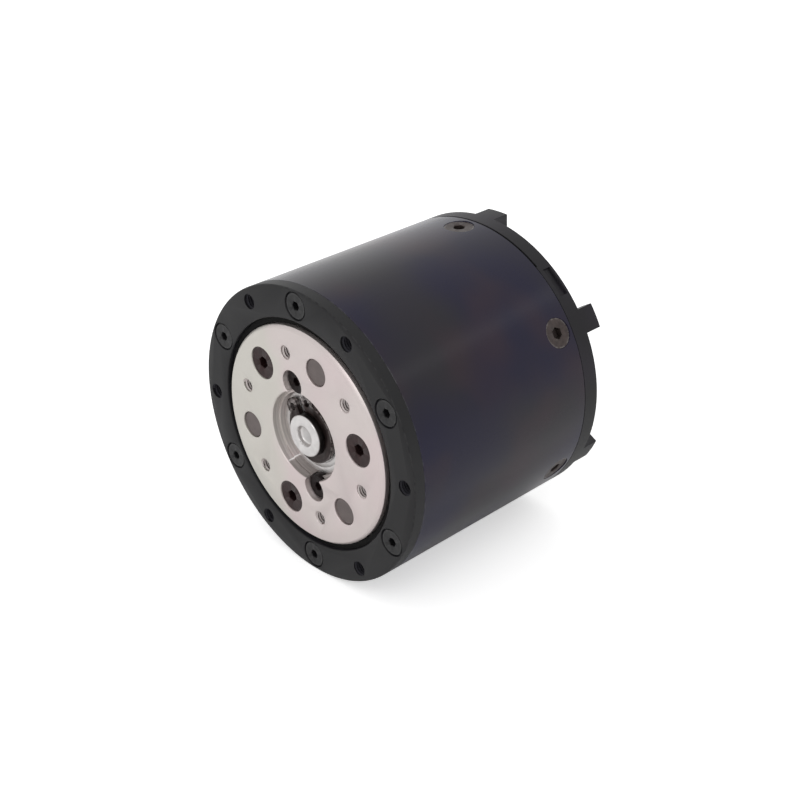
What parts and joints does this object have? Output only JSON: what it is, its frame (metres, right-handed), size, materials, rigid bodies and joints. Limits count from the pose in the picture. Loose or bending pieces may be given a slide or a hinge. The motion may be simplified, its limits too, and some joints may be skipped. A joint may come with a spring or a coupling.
{
  "type": "robot joint actuator",
  "caption": "Round robot joint actuator: motor, driver and planetary gearbox in one black housing, with a bolted silver output flange.",
  "frame": {"origin": "centre of the housing's front mounting face, on the axis of rotation", "axes": "+Y along the axis from the output flange to the rear cap, +X and +Z square to it; the six housing mounting holes start on +X"},
  "size_m": [0.056, 0.0504, 0.056],
  "materials": {
    "black_anodised": "anodised, satin black",
    "screw_steel": "black oxide",
    "side_screw_steel": "dark phosphate",
    "silver_aluminium": "fine turned, natural",
    "machined_aluminium": "machined",
    "ground_steel": "ground",
    "bearing_steel": "polished",
    "gear_steel": "hobbed",
    "spring_steel": "phosphated",
    "bronze": "sintered",
    "cage_plastic": "matt",
    "seal_rubber": "matt",
    "lamination_steel": "stamped stack",
    "copper_wire": "enamelled",
    "magnet": "nickel plated",
    "board_laminate": "solder mask",
    "chip_plastic": "matt",
    "brass_pillar": "turned",
    "power_plastic": "moulded",
    "signal_plastic": "moulded"
  },
  "bodies": {
    "housing": {"front_ring": "black_anodised", "front_ring_screws": "screw_steel", "main_shell": "black_anodised", "shell_screws": "side_screw_steel", "rear_cap": "black_anodised", "output_seal": "seal_rubber", "rear_gasket": "seal_rubber", "output_bearing_outer_ring": "bearing_steel", "rear_bearing_outer_ring": "bearing_steel", "ring_gear": "gear_steel", "stator_spacer": "machined_aluminium", "stator_core": "lamination_steel", "coil_formers": "cage_plastic", "stator_coils": "copper_wire", "motor_end_plate": "machined_aluminium", "driver_board": "board_laminate", "board_pillars": "brass_pillar", "board_screws": "screw_steel", "mosfets": "chip_plastic", "capacitors": "chip_plastic", "encoder_chip": "chip_plastic", "controller_chip": "chip_plastic", "phase_leads": "copper_wire", "power_connector": "power_plastic", "signal_connectors": "signal_plastic", "power_contacts": "brass_pillar", "signal_contacts": "brass_pillar"},
    "output": {"output_flange": "silver_aluminium", "carrier_plate": "ground_steel", "carrier_screws": "screw_steel", "planet_pins": "ground_steel", "output_bearing_inner_ring": "bearing_steel", "hub_bearing_outer_ring": "bearing_steel", "hub_bearing_shield": "bearing_steel", "bearing_retaining_screws": "screw_steel"},
    "rotor": {"rotor_shaft": "ground_steel", "sun_gear": "gear_steel", "rotor_hub": "machined_aluminium", "rotor_magnets": "magnet", "circlip": "spring_steel", "hub_bearing_inner_ring": "bearing_steel", "rear_bearing_inner_ring": "bearing_steel", "encoder_magnet": "magnet", "front_shaft_sleeve": "ground_steel", "rear_shaft_sleeve": "ground_steel"},
    "planet_1": {"planet_gear_1": "gear_steel", "planet_bush_1": "bronze"},
    "planet_2": {"planet_gear_2": "gear_steel", "planet_bush_2": "bronze"},
    "planet_3": {"planet_gear_3": "gear_steel", "planet_bush_3": "bronze"},
    "output_ball_set": {"output_bearing_balls": "bearing_steel", "output_bearing_cage": "cage_plastic"},
    "hub_ball_set": {"hub_bearing_balls": "bearing_steel", "hub_bearing_cage": "cage_plastic"},
    "rear_ball_set": {"rear_bearing_balls": "bearing_steel", "rear_bearing_cage": "cage_plastic"}
  },
  "joints": [
    {"name": "output_spin", "type": "hinge", "parent": "housing", "child": "output", "pos_m": [0, 0, 0], "axis": [0, 1, 0], "continuous": true},
    {"name": "rotor_spin", "type": "hinge", "parent": "housing", "child": "rotor", "pos_m": [0, 0, 0], "axis": [0, 1, 0], "continuous": true},
    {"name": "planet_1_spin", "type": "hinge", "parent": "output", "child": "planet_1", "pos_m": [0.00473, 0.0143, 0.01423], "axis": [0, 1, 0], "continuous": true},
    {"name": "planet_2_spin", "type": "hinge", "parent": "output", "child": "planet_2", "pos_m": [-0.01469, 0.0143, -0.00302], "axis": [0, 1, 0], "continuous": true},
    {"name": "planet_3_spin", "type": "hinge", "parent": "output", "child": "planet_3", "pos_m": [0.00996, 0.0143, -0.01122], "axis": [0, 1, 0], "continuous": true},
    {"name": "output_ball_orbit", "type": "hinge", "parent": "housing", "child": "output_ball_set", "pos_m": [0, 0, 0], "axis": [0, 1, 0], "continuous": true},
    {"name": "hub_ball_orbit", "type": "hinge", "parent": "output", "child": "hub_ball_set", "pos_m": [0, 0, 0], "axis": [0, 1, 0], "continuous": true},
    {"name": "rear_ball_orbit", "type": "hinge", "parent": "housing", "child": "rear_ball_set", "pos_m": [0, 0, 0], "axis": [0, 1, 0], "continuous": true}
  ],
  "couplings": [
    {"joint": "rotor_spin", "follows": "output_spin", "ratio": 5},
    {"joint": "planet_1_spin", "follows": "output_spin", "ratio": -2.6667},
    {"joint": "planet_2_spin", "follows": "output_spin", "ratio": -2.6667},
    {"joint": "planet_3_spin", "follows": "output_spin", "ratio": -2.6667},
    {"joint": "output_ball_orbit", "follows": "output_spin", "ratio": 0.46429},
    {"joint": "hub_ball_orbit", "follows": "output_spin", "ratio": 1.6667},
    {"joint": "rear_ball_orbit", "follows": "output_spin", "ratio": 2.0833}
  ]
}
